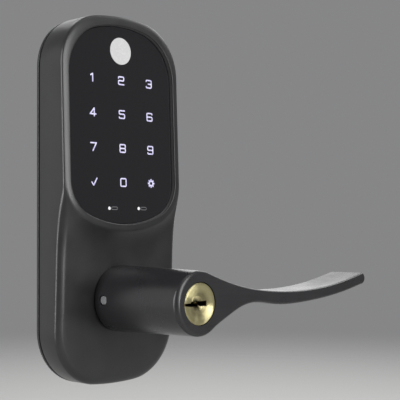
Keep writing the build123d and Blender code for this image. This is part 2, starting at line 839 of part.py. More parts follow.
def return_spring():
    """A torsion spring: one leg in the lock ring, the other through the cage's wall."""
    height = spring_pitch * spring_turns
    start_depth = plate_front + cage_wall + spring_wire_r + seat_gap
    turns = coil(spring_wire_r, spring_mean_r, spring_pitch, spring_turns)
    placed = front(start_depth) * turns
    fixed_leg = rod(spring_wire_r, spring_mean_r, spring_mean_r + spring_leg, start_depth)
    free_end = start_depth + height
    free_leg = disc(spring_wire_r, free_end, lock_ring_back + spring_leg / 2, -spring_mean_r)
    return placed + fixed_leg + free_leg


def spindle():
    """The square tube that turns the latch, on a disc pressed into the sleeve."""
    solid = disc(sleeve_inner_r, spindle_disc_back, spindle_disc_front)
    solid += slab(Rectangle(spindle_across, spindle_across), -spindle_reach, spindle_disc_back)
    return solid - disc(spindle_bore_r, -spindle_reach, spindle_disc_front)


# Lever catch

def catch_pin():
    outer = -(catch_reach - catch_sink)
    pin = rod(catch_r, outer, catch_head_x, catch_depth)
    pin += rod(catch_head_r, catch_head_x, catch_head_x + catch_head_height, catch_depth)
    rim = pin.faces().sort_by(Axis.X)[0].edges()
    return chamfer(rim, catch_sink)


def catch_block():
    """A ring fixed in the sleeve, bored for the catch and its spring."""
    half = catch_block_length / 2
    solid = ring(sleeve_inner_r, catch_block_inner_r, catch_depth - half, catch_depth + half)
    return solid - rod(catch_head_r + guide_gap, -sleeve_outer_r, catch_floor_x, catch_depth)


def catch_spring():
    top = catch_head_x + catch_head_height
    clear = 2 * catch_spring_wire_r
    pitch = (catch_floor_x - top - clear) / catch_spring_turns
    wire = coil(catch_spring_wire_r, catch_r - catch_spring_wire_r, pitch, catch_spring_turns)
    return Plane.YZ.offset(top + clear / 2) * Pos(-catch_depth, 0) * wire


# Key cylinder

def keyway_face():
    """The slot for the key: a slit to the rim, then a wider part with a ward in it."""
    rim = plug_face_r + cut_margin
    return make_face(Polyline(
        (-rim, -keyway_slit), (-rim, keyway_slit), (-keyway_slit_inner, keyway_slit),
        (-keyway_slit_inner + keyway_slit, keyway_slot), (keyway_tip, keyway_slot),
        (keyway_tip, -keyway_slot), (keyway_rib, -keyway_slot), (0, -keyway_slit),
        (-keyway_rib, -keyway_slot), (-keyway_slit_inner, -keyway_slot), close=True))


def pin_depths():
    return [shell_front - first_pin_back - i * pin_pitch for i in range(pin_count)]


def cylinder_plug():
    plug = disc(plug_face_r, plug_face_depth - plug_head_length, plug_face_depth)
    plug = chamfer(plug.faces().sort_by(Axis.Y)[0].edges(), glass_chamfer)
    plug += disc(plug_r, plug_back, plug_face_depth)
    plug -= turned(((0, plug_face_depth), (dish_r, plug_face_depth),
                    (dish_floor_r, plug_face_depth - dish_depth), (0, plug_face_depth - dish_depth)))
    floor = plug_face_depth - dish_depth
    plug -= turned(((0, floor), (entry_r, floor), (0, floor - entry_depth)), entry_offset)
    plug -= slab(keyway_face(), plug_back + tailpiece_grip, plug_face_depth)
    for depth in pin_depths():
        plug -= rod(pin_r + pin_fit, 0, plug_r + cut_margin, depth)
    grip = Rectangle(tailpiece_width, tailpiece_thickness)
    return plug - slab(grip, plug_back, plug_back + tailpiece_grip)


def cylinder_shell():
    shell = ring(shell_r, plug_r + running_fit, plug_back + shell_back_gap, shell_front)
    for depth in pin_depths():
        shell -= rod(pin_r + pin_fit, 0, shell_r + cut_margin, depth)
    return shell - pin_cover_room()


def pin_cover_room():
    depths = pin_depths()
    inner = shell_r - 2 * pin_cover_thickness
    half = 2 * pin_r
    return block(inner, shell_r + cut_margin, depths[-1] - half, depths[0] + half, -half, half)


def pin_cover():
    """The strip that closes the pin bores."""
    depths = pin_depths()
    inner = shell_r - 2 * pin_cover_thickness
    half = 2 * pin_r
    return block(inner, inner + pin_cover_thickness, depths[-1] - half, depths[0] + half, -half, half)


def key_pins():
    """Set as the right key sets them, level with the plug's surface."""
    pins = []
    for depth, length in zip(pin_depths(), key_pin_lengths):
        outer = plug_r - shear_gap
        pin = rod(pin_r, outer - length, outer, depth)
        pins.append(chamfer(pin.faces().sort_by(Axis.X)[0].edges(), pin_r / 2))
    return pins


def driver_pins():
    inner = plug_r + running_fit + shear_gap
    return [rod(pin_r, inner, inner + driver_length, depth) for depth in pin_depths()]


def pin_springs():
    start = plug_r + running_fit + shear_gap + driver_length + pin_wire_r
    end = shell_r - 2 * pin_cover_thickness - pin_wire_r
    pitch = (end - start) / pin_spring_turns
    wire = coil(pin_wire_r, pin_r - 2 * pin_wire_r, pitch, pin_spring_turns)
    return [Plane.YZ.offset(start) * Pos(-depth, 0) * wire for depth in pin_depths()]


def tailpiece():
    face = Rectangle(tailpiece_width, tailpiece_thickness)
    return slab(face, -tailpiece_reach, plug_back + tailpiece_grip)


def plug_cap():
    """The ring that keeps the plug in its shell."""
    cap = ring(plug_cap_r, spindle_bore_r, plug_back - plug_cap_thickness, plug_back)
    return chamfer(cap.faces().sort_by(Axis.Y)[-1].outer_wire().edges(), glass_chamfer)


# Locking motor and dog

def shaft_plane(height):
    """A plane across the motor's shaft, which stands upright above the lock ring."""
    return Plane(origin=(0, -dog_depth, height), x_dir=(1, 0, 0), z_dir=(0, 0, 1))


def upright(face, low, high):
    return extrude(shaft_plane(low) * face, high - low)


def lock_motor():
    top = motor_bottom + motor_length
    can = upright(Circle(motor_r), motor_bottom, top)
    return chamfer(can.faces().sort_by(Axis.Z)[-1].edges(), glass_chamfer) - upright(
        Circle(screw_r + running_fit), motor_bottom, motor_bottom + 2 * screw_r)


def motor_screw():
    """The motor's shaft, threaded where it drives the dog."""
    return upright(Circle(screw_r), screw_bottom, motor_bottom + 2 * screw_r)


def lock_dog():
    body = upright(Rectangle(2 * dog_half_width, 2 * dog_half_depth), dog_bottom, dog_top)
    body = chamfer(body.edges().filter_by(Axis.Z), glass_chamfer)
    tooth_bottom = lock_ring_r + tooth_gap
    tooth_depth = lock_ring_thickness - 2 * lock_ring_gap
    body += upright(Rectangle(tooth_width, tooth_depth), tooth_bottom, dog_bottom)
    bore_bottom = screw_bottom - running_fit - dog_clear
    return body - upright(Circle(screw_r + running_fit), bore_bottom, dog_top)


def carrier_screw_places():
    height = motor_bottom + motor_length / 2
    across = (carrier_half_width + carrier_foot_half_width) / 2 + carrier_screw_shift
    return [(-across, height), (across, height)]


def motor_carrier():
    """The moulded cradle that holds the motor and guides the dog."""
    top = motor_bottom + motor_length + carrier_wall
    foot_top = plate_front + carrier_foot_thickness
    solid = block(-carrier_foot_half_width, carrier_foot_half_width, plate_front, foot_top,
                  carrier_lower, top)
    solid += block(-carrier_half_width, carrier_half_width, foot_top, dog_depth + dog_half_depth,
                   carrier_lower, top)
    solid -= upright(Circle(motor_r + running_fit), motor_bottom, motor_bottom + motor_length)
    reach = 2 * motor_r
    solid -= block(-motor_r + carrier_grip, motor_r - carrier_grip, dog_depth, dog_depth + reach,
                   motor_bottom, motor_bottom + motor_length)
    solid -= block(-dog_half_width - guide_gap, dog_half_width + guide_gap,
                   dog_depth - dog_half_depth - guide_gap, dog_depth + reach,
                   carrier_lower, motor_bottom - carrier_wall)
    solid -= upright(Circle(screw_r + guide_gap), carrier_lower, motor_bottom)
    for x, z in carrier_screw_places():
        solid -= disc(screw_shank_r + screw_hole_gap, plate_front, foot_top, x, z)
    return solid


def carrier_screws():
    head_face = plate_front + carrier_foot_thickness + screw_head_height
    length = head_face - gasket_thickness
    return [pan_screw(x, z, head_face, -1, length) for x, z in carrier_screw_places()]


pieces = {
    "housing": housing,
    "back_plate": back_plate,
    "rear_gasket": rear_gasket,
    "plate_screws": plate_screws,
    "through_posts": through_posts,
    "cable_grommet": cable_grommet,
    "glass_panel": glass_panel,
    "badge_disc": badge_disc,
    "legend_lights": legend_lights,
    "indicator_lights": indicator_lights,
    "glass_adhesive": glass_adhesive,
    "light_diffuser": light_diffuser,
    "touch_board": touch_board,
    "key_lamps": key_lamps,
    "main_board": main_board,
    "board_chips": board_chips,
    "buzzer": buzzer,
    "cable_header": cable_header,
    "board_screws": board_screws,
    "board_cover": board_cover,
    "lever": lever,
    "lever_sleeve": lever_sleeve,
    "rose_bushing": rose_bushing,
    "thrust_washer": thrust_washer,
    "lock_ring": lock_ring,
    "snap_ring": snap_ring,
    "spring_cage": spring_cage,
    "return_spring": return_spring,
    "spindle": spindle,
    "catch_pin": catch_pin,
    "catch_block": catch_block,
    "catch_spring": catch_spring,
    "cylinder_plug": cylinder_plug,
    "cylinder_shell": cylinder_shell,
    "pin_cover": pin_cover,
    "key_pins": key_pins,
    "driver_pins": driver_pins,
    "pin_springs": pin_springs,
    "tailpiece": tailpiece,
    "plug_cap": plug_cap,
    "lock_motor": lock_motor,
    "motor_screw": motor_screw,
    "lock_dog": lock_dog,
    "motor_carrier": motor_carrier,
    "carrier_screws": carrier_screws,
}

for node, make in pieces.items():
    made = make()
    if isinstance(made, list):
        made = Compound(children=[solid for piece in made for solid in piece.solids()])
    export_step(made, "parts/" + node + ".step")
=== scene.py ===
import math

import bmesh
import bpy
from mathutils import Matrix, Vector


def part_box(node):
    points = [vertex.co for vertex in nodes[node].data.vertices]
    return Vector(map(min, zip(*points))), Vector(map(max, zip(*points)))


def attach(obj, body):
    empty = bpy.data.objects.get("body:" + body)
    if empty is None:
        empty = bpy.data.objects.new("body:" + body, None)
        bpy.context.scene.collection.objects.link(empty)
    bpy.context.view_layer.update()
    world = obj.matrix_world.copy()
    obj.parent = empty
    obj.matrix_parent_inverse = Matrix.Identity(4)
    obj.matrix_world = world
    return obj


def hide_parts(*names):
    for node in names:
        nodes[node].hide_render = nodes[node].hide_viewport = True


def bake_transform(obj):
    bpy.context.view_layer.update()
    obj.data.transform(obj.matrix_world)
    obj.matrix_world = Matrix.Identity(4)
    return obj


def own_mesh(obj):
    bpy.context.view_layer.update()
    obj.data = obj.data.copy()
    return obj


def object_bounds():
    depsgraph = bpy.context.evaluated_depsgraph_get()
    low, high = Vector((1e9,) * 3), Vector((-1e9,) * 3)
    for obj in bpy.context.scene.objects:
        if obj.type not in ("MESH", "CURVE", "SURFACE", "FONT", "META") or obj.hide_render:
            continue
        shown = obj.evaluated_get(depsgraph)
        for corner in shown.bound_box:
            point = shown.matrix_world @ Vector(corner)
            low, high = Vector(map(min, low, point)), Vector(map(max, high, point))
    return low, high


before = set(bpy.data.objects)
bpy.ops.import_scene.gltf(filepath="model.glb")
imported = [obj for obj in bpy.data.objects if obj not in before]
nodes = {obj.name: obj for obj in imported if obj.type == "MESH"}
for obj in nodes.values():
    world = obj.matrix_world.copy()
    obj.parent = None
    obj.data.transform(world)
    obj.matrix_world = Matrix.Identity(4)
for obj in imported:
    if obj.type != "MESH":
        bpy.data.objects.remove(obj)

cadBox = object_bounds()
mm = 0.001
noiseMiddle = (0.3, 0.7)    # nearly all of a noise's values lie in this span
cloudSize = 9               # times a plain finish's grain, the size of its soft clouds of shade


def linear(hexColour):
    # sRGB hex, as a paint program writes it, to the linear values that shaders take
    channels = [int(hexColour[i:i + 2], 16) / 255 for i in (1, 3, 5)]
    return [c / 12.92 if c <= 0.04045 else ((c + 0.055) / 1.055) ** 2.4 for c in channels] + [1.0]


def addNode(tree, kind, values=None, links=None, **settings):
    # one shader node: settings by keyword, socket values and links by socket name or number
    node = tree.nodes.new(kind)
    for name, value in settings.items():
        setattr(node, name, value)
    for socket, value in (values or {}).items():
        node.inputs[socket].default_value = value
    for socket, source in (links or {}).items():
        tree.links.new(source, node.inputs[socket])
    return node


def emptyMaterial(name):
    # a material with only object coordinates, which are the CAD frame in metres
    material = bpy.data.materials.new(name)
    material.use_nodes = True
    tree = material.node_tree
    tree.nodes.clear()
    return material, tree, addNode(tree, "ShaderNodeTexCoord").outputs["Object"]


def startMaterial(name, **values):
    # a Principled shader, with its socket values by keyword
    material, tree, place = emptyMaterial(name)
    sockets = {key.replace("_", " "): value for key, value in values.items()}
    shader = addNode(tree, "ShaderNodeBsdfPrincipled", sockets)
    addNode(tree, "ShaderNodeOutputMaterial", links={"Surface": shader.outputs["BSDF"]})
    return material, tree, shader, place


def grainNoise(tree, place, grain, detail=2.0, stretch=(1, 1, 1)):
    # noise whose lumps are grain millimetres across, drawn out along each axis by stretch
    scale = [1 / (grain * mm * s) for s in stretch]
    mapped = addNode(tree, "ShaderNodeMapping", {"Scale": scale}, {"Vector": place})
    noise = addNode(tree, "ShaderNodeTexNoise", {"Scale": 1.0, "Detail": detail},
                    {"Vector": mapped.outputs[0]})
    return noise.outputs["Fac"]


def spread(tree, source, low, high):
    # the middle of a noise spread out between two values
    span = {"From Min": noiseMiddle[0], "From Max": noiseMiddle[1], "To Min": low, "To Max": high}
    return addNode(tree, "ShaderNodeMapRange", span, {"Value": source}).outputs["Result"]


def tint(tree, source, dark, light):
    # a colour between two hex colours
    ramp = addNode(tree, "ShaderNodeValToRGB", links={"Fac": source})
    for stop, position, hexColour in zip(ramp.color_ramp.elements, noiseMiddle, (dark, light)):
        stop.position = position
        stop.color = linear(hexColour)
    return ramp.outputs["Color"]


def vary(tree, shader, finish, shades, gloss):
    # base colour by one noise and roughness by another, between the finish's own limits
    tree.links.new(tint(tree, shades, finish["dark"], finish["light"]), shader.inputs["Base Color"])
    tree.links.new(spread(tree, gloss, *finish["roughness"]), shader.inputs["Roughness"])


def roughen(tree, shader, source, height):
    # a bump of this height in millimetres
    bump = addNode(tree, "ShaderNodeBump", {"Distance": height * mm}, {"Height": source})
    tree.links.new(bump.outputs["Normal"], shader.inputs["Normal"])


def addObject(name, data):
    # an object in the scene, at the origin
    thing = bpy.data.objects.new(name, data)
    bpy.context.scene.collection.objects.link(thing)
    return thing


# Painted castings

paint = {
    "dark": "#222223",
    "light": "#282829",
    "roughness": (0.29, 0.35),
    "peelGrain": 0.55,      # mm, lumps of the powder coat
    "peelHeight": 0.012,    # mm
    "mottleGrain": 14.0,
}


def powderCoatedZinc():
    # die-cast zinc under satin black powder coat: soft broad highlights, a trace of orange peel
    material, tree, shader, place = startMaterial("powderCoatedZinc", IOR=1.5)
    mottle = grainNoise(tree, place, paint["mottleGrain"])
    peel = grainNoise(tree, place, paint["peelGrain"], detail=1.0)
    vary(tree, shader, paint, mottle, mottle)
    roughen(tree, shader, peel, paint["peelHeight"])
    return material


leverFinish = {
    "dark": "#1f1f21",
    "light": "#262628",
    "roughness": (0.26, 0.34),
    "lineGrain": 0.35,      # mm between brushing lines, drawn coarse enough to show
    "lineHeight": 0.006,
    "lineLength": 60,       # times the distance between lines
    "mottleGrain": 12.0,
}


def brushedBlackLever():
    # die-cast zinc, linished along its length, then satin black plated: faint lines run to the tip
    material, tree, shader, place = startMaterial("brushedBlackLever", IOR=1.5)
    lines = grainNoise(tree, place, leverFinish["lineGrain"], stretch=(leverFinish["lineLength"], 1, 1))
    mottle = grainNoise(tree, place, leverFinish["mottleGrain"])
    vary(tree, shader, leverFinish, lines, mottle)
    roughen(tree, shader, lines, leverFinish["lineHeight"])
    return material


# painted light: a much lighter copy of the powder coat, for the shaded step down to the glass
stepPaintedLightTone = {
    "dark": "#606061",
    "light": "#686869",
    "roughness": (0.72, 0.84),
    "grain": 0.4,
    "height": 0.01,
}


def stepPaintedLight():
    # the same powder coat, painted much lighter and dull in the step down to the glass: painted light that
    # lifts the shade lying in the step
    material, tree, shader, place = startMaterial("powderCoatPaintedLight", IOR=1.5)
    texture = grainNoise(tree, place, stepPaintedLightTone["grain"])
    vary(tree, shader, stepPaintedLightTone, texture, texture)
    roughen(tree, shader, texture, stepPaintedLightTone["height"])
    return material


# Keypad

glassFinish = {
    "print": "#1a1a1c",
    "roughness": (0.04, 0.08),
    "smearGrain": 22.0, "smearDetail": 3.0,
    "smearStretch": (1, 1, 2.5),    # smears run down the glass
}


def printedGlass():
    # toughened glass printed black on its back: deep black with a clear, faintly smeared gloss
    material, tree, shader, place = startMaterial("printedGlass", IOR=1.52,
                                                  Base_Color=linear(glassFinish["print"]))
    smear = grainNoise(tree, place, glassFinish["smearGrain"], glassFinish["smearDetail"],
                       glassFinish["smearStretch"])
    tree.links.new(spread(tree, smear, *glassFinish["roughness"]), shader.inputs["Roughness"])
    return material


legendFinish = {
    "core": "#d4d1e4",
    "edge": "#a7a2ce",
    "cloudGrain": 0.9,
    "roughness": 0.4,
    "strength": 0.35,
}
indicatorFinish = {
    "lamp": "#dedee0",
    "bar": "#5e5e60",
    "strength": 0.2,
    "lamps": (-8.7, 9.0), "lampReach": 0.9,     # where the round lamps are, and how far they go, in mm
}


def shine(tree, shader, colour):
    # lit from behind in its own colour
    for socket in ("Base Color", "Emission Color"):
        tree.links.new(colour, shader.inputs[socket])


def litLegend():
    # milky resin in the print's openings, lit from behind: near white with a violet cast
    material, tree, shader, place = startMaterial("litLegend", Roughness=legendFinish["roughness"], IOR=1.5,
                                                  Emission_Strength=legendFinish["strength"])
    cloud = grainNoise(tree, place, legendFinish["cloudGrain"])
    shine(tree, shader, tint(tree, cloud, legendFinish["edge"], legendFinish["core"]))
    return material


def dimLegend():
    # the same resin over the two indicators: the round lamps lit, the bars beside them nearly out
    material, tree, shader, place = startMaterial("dimLegend", Roughness=legendFinish["roughness"], IOR=1.5,
                                                  Emission_Strength=indicatorFinish["strength"])
    across = addNode(tree, "ShaderNodeSeparateXYZ", links={"Vector": place}).outputs["X"]
    first, second = [addNode(tree, "ShaderNodeMath", {1: x * mm, 2: indicatorFinish["lampReach"] * mm},
                             {0: across}, operation="COMPARE") for x in indicatorFinish["lamps"]]
    either = addNode(tree, "ShaderNodeMath", links={0: first.outputs[0], 1: second.outputs[0]},
                     operation="MAXIMUM")
    shine(tree, shader, tint(tree, either.outputs[0], indicatorFinish["bar"], indicatorFinish["lamp"]))
    return material


def plainFinish(name, dark, light, roughness, grain, height, stretch=(1, 1, 1), **values):
    # two near shades in soft clouds under a fine texture; stretch draws it out into tool marks
    material, tree, shader, place = startMaterial(name, **values)
    finish = {"dark": dark, "light": light, "roughness": roughness}
    texture = grainNoise(tree, place, grain, stretch=stretch)
    vary(tree, shader, finish, grainNoise(tree, place, grain * cloudSize), texture)
    roughen(tree, shader, texture, height)
    return material


def plainMetal(*details):
    # bare or plated metal
    return plainFinish(*details, Metallic=1.0)


# Key cylinder

brassFinish = {
    "dark": "#c0b787",
    "light": "#cec69a",
    # dark brown of the keyway's painted shade
    "keywayShade": "#2b2117",
    "keywayShadeDepth": (0.25, 1.2),  # mm below the face, where the keyway's painted shade begins and where it is full
    "mottleGrain": 3.0,
    "roughness": (0.31, 0.37),
    "ringPitch": 0.22,      # mm between the lathe's rings, drawn coarse enough to show
    "ringHeight": 0.004,
    "anisotropy": 0.95,
    "turn": 0.3,            # the grain runs a little across the rings, as the feed leaves it
}


def turnedBrass():
    # brass faced on a lathe: fine rings round the axis, so the light fans out like a bow tie; painted shade
    # darkens the keyway with depth
    material, tree, shader, place = startMaterial("turnedBrass", Metallic=1.0,
                                                  Anisotropic=brassFinish["anisotropy"],
                                                  Anisotropic_Rotation=brassFinish["turn"])
    split = addNode(tree, "ShaderNodeSeparateXYZ", links={"Vector": place})
    flat = addNode(tree, "ShaderNodeCombineXYZ", links={"X": split.outputs["X"], "Z": split.outputs["Z"]})
    radius = addNode(tree, "ShaderNodeVectorMath", links={0: flat.outputs[0]}, operation="LENGTH")
    rings = addNode(tree, "ShaderNodeMath", {1: 2 * math.pi / (brassFinish["ringPitch"] * mm)},
                    {0: radius.outputs["Value"]}, operation="MULTIPLY")
    wave = addNode(tree, "ShaderNodeMath", links={0: rings.outputs[0]}, operation="SINE")
    mottle = grainNoise(tree, place, brassFinish["mottleGrain"])
    brass = tint(tree, mottle, brassFinish["dark"], brassFinish["light"])
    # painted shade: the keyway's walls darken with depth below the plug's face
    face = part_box("cylinder_plug")[0][1]
    shadeStart, shadeFull = [face + depth * mm for depth in brassFinish["keywayShadeDepth"]]
    deep = addNode(tree, "ShaderNodeMapRange", {"From Min": shadeStart, "From Max": shadeFull},
                   {"Value": split.outputs["Y"]})
    # a Mix node's sockets by number: 0 is the share, 6 and 7 the two colours, and output 2 the mixed one
    colour = addNode(tree, "ShaderNodeMix", {7: linear(brassFinish["keywayShade"])},
                     {0: deep.outputs["Result"], 6: brass}, data_type="RGBA")
    tree.links.new(colour.outputs[2], shader.inputs["Base Color"])
    tree.links.new(spread(tree, mottle, *brassFinish["roughness"]), shader.inputs["Roughness"])
    around = addNode(tree, "ShaderNodeTangent", direction_type="RADIAL", axis="Y")
    tree.links.new(around.outputs["Tangent"], shader.inputs["Tangent"])
    roughen(tree, shader, wave.outputs[0], brassFinish["ringHeight"])
    return material


# Boards

boardFinish = {
    "mask": "#0d3b21",
    "trace": "#17603a",
    "roughness": 0.35,
    "pitch": 2.4,           # mm between tracks
    "trackWidth": 0.08, "trackLength": 3.0,     # times the pitch
}


def solderMask():
    # glass-fibre board under green solder mask: tracks show as paler straight runs
    material, tree, shader, place = startMaterial("solderMask", Roughness=boardFinish["roughness"], IOR=1.5)
    perPitch = 1 / (boardFinish["pitch"] * mm)
    upright = addNode(tree, "ShaderNodeMapping", {"Rotation": (math.pi / 2, 0, 0), "Scale": [perPitch] * 3},
                      {"Vector": place})
    mask = linear(boardFinish["mask"])
    pattern = {"Color1": mask, "Color2": mask, "Mortar": linear(boardFinish["trace"]), "Scale": 1.0,
               "Mortar Size": boardFinish["trackWidth"], "Brick Width": boardFinish["trackLength"],
               "Row Height": 1.0}
    tracks = addNode(tree, "ShaderNodeTexBrick", pattern, {"Vector": upright.outputs[0]})
    tree.links.new(tracks.outputs["Color"], shader.inputs["Base Color"])
    return material


materials = {
    "powderCoat": powderCoatedZinc(),
    "stepPaintedLight": stepPaintedLight(),
    "brushedBlack": brushedBlackLever(),
    "glass": printedGlass(),
    "legend": litLegend(),
    "indicator": dimLegend(),
    "turnedBrass": turnedBrass(),
    "solderMask": solderMask(),
    # The rest: name, two shades, roughness, grain and height in mm, and how far tool marks are drawn out.
    # drawn brass rod: warm and even, with marks along the rod
    "drawnBrass": plainMetal("drawnBrass", "#b39a4e", "#d3bf77", (0.22, 0.34), 0.4, 0.003, (1, 12, 1)),
    # zinc-plated pressed steel: pale, slightly blue, lightly clouded
    "zincPlate": plainMetal("zincPlatedSteel", "#a9adb0", "#c3c6c8", (0.28, 0.42), 0.5, 0.004),
    # turned steel: darker and warmer, with marks round the bar
    "turnedSteel": plainMetal("turnedSteel", "#8b8c8e", "#a9aaab", (0.24, 0.36), 0.3, 0.003),
    # bead-blasted steel: pale grey and even, so that it shows from any side
    "blastedSteel": plainMetal("blastedSteel", "#a6a7a9", "#bfc0c1", (0.38, 0.48), 0.3, 0.004),
    # black-oxide steel: near black, with the metal's sheen left
    "blackOxide": plainMetal("blackOxideSteel", "#2b2b2d", "#3a3a3c", (0.35, 0.48), 0.3, 0.003),
    # oiled spring wire: dark grey and smooth
    "springWire": plainMetal("oiledSpringWire", "#6a6b6e", "#85868a", (0.2, 0.3), 0.4, 0.002),
    # closed-cell rubber: soft black with fine pores
    "rubber": plainFinish("mouldedRubber", "#151515", "#1e1e1e", (0.62, 0.78), 0.35, 0.02, IOR=1.5),
    # gloss white moulded polycarbonate: clean, with a faint ripple
    "badge": plainFinish("polishedPolycarbonate", "#c7c7c7", "#cfcfcf", (0.22, 0.30), 1.2, 0.002, IOR=1.58),
    # moulded acetal: waxy off-white
    "acetal": plainFinish("mouldedAcetal", "#cfccc2", "#dedbd2", (0.34, 0.46), 0.5, 0.004, IOR=1.48),
    # milky acrylic light guide: soft white
    "milky": plainFinish("milkyAcrylic", "#dcdcd8", "#e8e8e5", (0.3, 0.4), 0.8, 0.003, IOR=1.49),
    # moulded glass-filled nylon: dull black with a fine fleck
    "nylon": plainFinish("mouldedNylon", "#19191a", "#242425", (0.5, 0.64), 0.4, 0.01, IOR=1.53),
    # epoxy chip package: dull charcoal
    "epoxy": plainFinish("mouldedEpoxy", "#222224", "#2d2d2f", (0.5, 0.6), 0.2, 0.006, IOR=1.55),
    # silicone over a lamp's die: pale yellow and glossy
    "silicone": plainFinish("lampSilicone", "#d8cf8e", "#e6dfa6", (0.15, 0.25), 0.6, 0.002, IOR=1.43),
}

dressing = {
    "powderCoat": ["housing", "back_plate"],
    "brushedBlack": ["lever"],
    "glass": ["glass_panel"],
    "legend": ["legend_lights"],
    "indicator": ["indicator_lights"],
    "badge": ["badge_disc"],
    "turnedBrass": ["cylinder_plug"],
    "solderMask": ["touch_board", "main_board"],
    "drawnBrass": ["cylinder_shell", "pin_cover", "key_pins", "driver_pins", "plug_cap", "thrust_washer"],
    "zincPlate": ["spring_cage", "catch_block", "lock_motor"],
    "turnedSteel": ["through_posts", "board_screws", "lever_sleeve", "lock_ring", "spindle",
                    "tailpiece", "motor_screw", "lock_dog", "carrier_screws"],
    "blastedSteel": ["catch_pin"],
    "blackOxide": ["plate_screws"],
    "springWire": ["snap_ring", "return_spring", "catch_spring", "pin_springs"],
    "rubber": ["rear_gasket", "cable_grommet", "glass_adhesive"],
    "acetal": ["rose_bushing", "cable_header"],
    "milky": ["light_diffuser"],
    "nylon": ["board_cover", "motor_carrier", "buzzer"],
    "epoxy": ["board_chips"],
    "silicone": ["key_lamps"],
}
for finish, names in dressing.items():
    for name in names:
        nodes[name].data.materials.clear()
        nodes[name].data.materials.append(materials[finish])
print("dressed", sum(len(names) for names in dressing.values()), "of", len(nodes), "CAD nodes")


# Escutcheon: the casting's front as one skin, with the keypad's rim flowing into the lower front.
# Heights run up from the lever's axis, depths out from the door, all in millimetres.

bodyShape = {"half": 35.0, "top": 130.0, "bottom": -39.4,
             "topRadii": (24.5, 92.0), "bottomRadii": (25.5, 140.0)}
padShape = {"half": 35.0, "top": 130.0, "bottom": 30.0,
            "topRadii": (24.5, 92.0), "bottomRadii": (21.0, 59.0)}
glassShape = {"half": 31.0, "top": 125.3, "bottom": 34.0,
              "topRadii": (22.5, 55.0), "bottomRadii": (17.0, 55.0)}
casting = {
    "glassDepth": 19.0, "glassHeight": 60.0, "glassLean": math.tan(math.radians(1.9)),
    "lowerDepth": 16.2, "lowerLean": math.tan(math.radians(2.0)),
    "rimRise": 1.7,             # the rim's crest above the glass
    "crown": (6.0, 1.4),        # half axes of the rim's rounding, across and deep
    "joinSlope": 0.55,          # where the rounding hands over to the chin's slope
    "leastFall": 2.2,           # from the rim to the lower front
    "fallPower": 4,             # the chin's slope eases out by this power
    "rimEdge": (0.5, 1.5),      # rounding at the body's side, beside the keypad
    "lowerEdge": (3.9, 2.9),    # and further down
    "edgeFade": 3.0,            # distance out in which the first fades to about a third
    "innerRounding": (0.6, 0.9),    # at the glass
    "glassGap": 0.04, "ledge": 2.5, "ledgeBack": 4.0, "window": 4.0,
    "wall": 2.5, "frontWall": 2.5,
    "back": 1.7, "lipDepth": 2.4, "lipInset": 0.9, "lipRounding": 0.3,
    "boreRadius": 13.6, "seatRadius": 17.0, "seatDepth": 12.9,
    "bosses": ((-29, 94, 6.6), (29, 94, 6.6), (-29, 58, 6.6), (29, 58, 6.6), (0, 124.6, 1.7),
               (-28.6, 40, 1.7), (28.6, 40, 1.7), (-25.5, -20, 1.7), (25.5, -20, 1.7)),  # x, height, back
    "bossRadius": 2.4, "bossBore": 1.0,
    "stopPosts": ((-15.3, -8.7, 8.1), (15.3, -8.7, 8.1)), "stopRadius": 1.8,
    "rooted": 0.3,              # how far posts run into the front's wall
    "crease": 40,               # degrees, the least angle of an edge that stays sharp
}
skin = {
    "topSteps": (12, 16), "bottomSteps": (40, 36),      # rays round the glass: arch, corner
    "sideSteps": 20,
    "quarterSteps": 10,         # across each quarter rounding
    "paintedLightSteps": 2,             # of the inner rounding's, given the step's painted light like the step below them
    "lipStride": 3,             # the lip's rounding takes every third
    "crownSteps": 9, "frontSteps": 18,
    "crowding": 1.6,            # draws the front's steps together near the rim
    "farthest": 130.0, "halvings": 40,      # of the search along a ray
    "nudge": 0.05,              # in from the outline, where its inward way is taken
    "leastSlant": 0.25,         # least cosine between a ray and the side's normal
    "tubeSides": 32, "boreSides": 96,
    "weld": 0.002,              # mm between points that become one
}


def cornerOf(shape, end):
    # the corner's centre and the arch's centre of the top (1) or bottom (-1), seen as if it were the top
    apex = shape["top"] if end > 0 else -shape["bottom"]
    small, large = shape["topRadii"] if end > 0 else shape["bottomRadii"]
    across = shape["half"] - small
    rise = math.sqrt((large - small) ** 2 - across ** 2)
    return across, apex - large + rise, apex - large, math.atan2(rise, across), small, large


def insideOf(shape, x, z):
    # how far a point lies inside an outline, negative outside
    x = abs(x)
    depth = shape["half"] - x
    for end in (1, -1):
        across, cornerZ, archZ, turn, small, large = cornerOf(shape, end)
        up = end * z
        if up > cornerZ:
            if math.atan2(up - cornerZ, x - across) > turn:
                depth = min(depth, large - math.hypot(x, up - archZ))
            elif x > across:
                depth = min(depth, small - math.hypot(x - across, up - cornerZ))
    return depth


def inwardOf(shape, x, z, step=0.01):
    # the direction that leads straight in from an outline
    dx = insideOf(shape, x + step, z) - insideOf(shape, x - step, z)
    dz = insideOf(shape, x, z + step) - insideOf(shape, x, z - step)
    size = math.hypot(dx, dz) or 1.0
    return dx / size, dz / size


def glassPlane(z):
    # depth of the glass's front
    return casting["glassDepth"] + (casting["glassHeight"] - z) * casting["glassLean"]


def lowerPlane(z):
    # depth of the lower front
    return casting["lowerDepth"] + z * casting["lowerLean"]


crownAcross, crownDeep = casting["crown"]
joinTurn = math.atan(crownDeep / (casting["joinSlope"] * crownAcross))
joinInset = crownAcross * (1 - math.cos(joinTurn))


def rounded(inset, across, deep):
    # how far a quarter ellipse has fallen at this distance in from where it starts
    return deep * (1 - math.sqrt(max(0.0, 1 - max(0.0, 1 - inset / across) ** 2)))


crestDrop = rounded(padShape["half"] - glassShape["half"] - casting["glassGap"], crownAcross, crownDeep)


def sideRounding(outside):
    # half axes of the rounding at the body's side, this far out from the pad
    near = math.exp(-max(0.0, outside - joinInset) / casting["edgeFade"])
    return [rim * near + lower * (1 - near)
            for rim, lower in zip(casting["rimEdge"], casting["lowerEdge"])]


